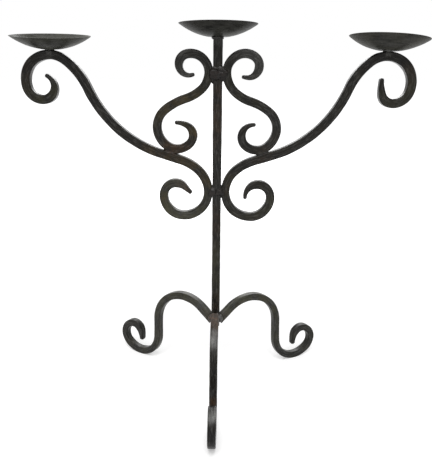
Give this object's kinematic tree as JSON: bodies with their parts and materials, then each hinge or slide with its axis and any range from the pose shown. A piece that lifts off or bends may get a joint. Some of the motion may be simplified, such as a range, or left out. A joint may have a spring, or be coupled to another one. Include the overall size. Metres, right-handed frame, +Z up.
{
  "type": "candelabra",
  "caption": "Wrought iron candelabra: a square post on scrolled legs, scrolled side arms and smaller scrolls welded to the post, and dished candle pans, painted black.",
  "frame": {"origin": "on the floor, under the middle of the box that holds the whole object", "axes": "+X along the arms to the right of the picture, +Y away from the front leg, +Z up"},
  "size_m": [0.5758, 0.3076, 0.5495],
  "materials": {
    "bar_paint": "satin black paint over forged square bar, worn grey on the edges",
    "pan_paint": "satin black paint over dished sheet",
    "weld_metal": "rough weld bead, thinly painted, brown with rust"
  },
  "bodies": {
    "root": {"post": "bar_paint", "arm_left": "bar_paint", "arm_right": "bar_paint", "scroll_left": "bar_paint", "scroll_right": "bar_paint", "leg_front": "bar_paint", "leg_left": "bar_paint", "leg_right": "bar_paint", "pan_centre": "pan_paint", "pan_left": "pan_paint", "pan_right": "pan_paint", "neck_left": "bar_paint", "neck_right": "bar_paint", "upper_weld_left": "weld_metal", "upper_weld_right": "weld_metal", "lower_weld_left": "weld_metal", "lower_weld_right": "weld_metal", "tie_weld_left": "weld_metal", "tie_weld_right": "weld_metal", "leg_weld_left": "weld_metal", "leg_weld_right": "weld_metal", "leg_weld_back": "weld_metal", "pan_weld": "weld_metal"}
  },
  "joints": []
}
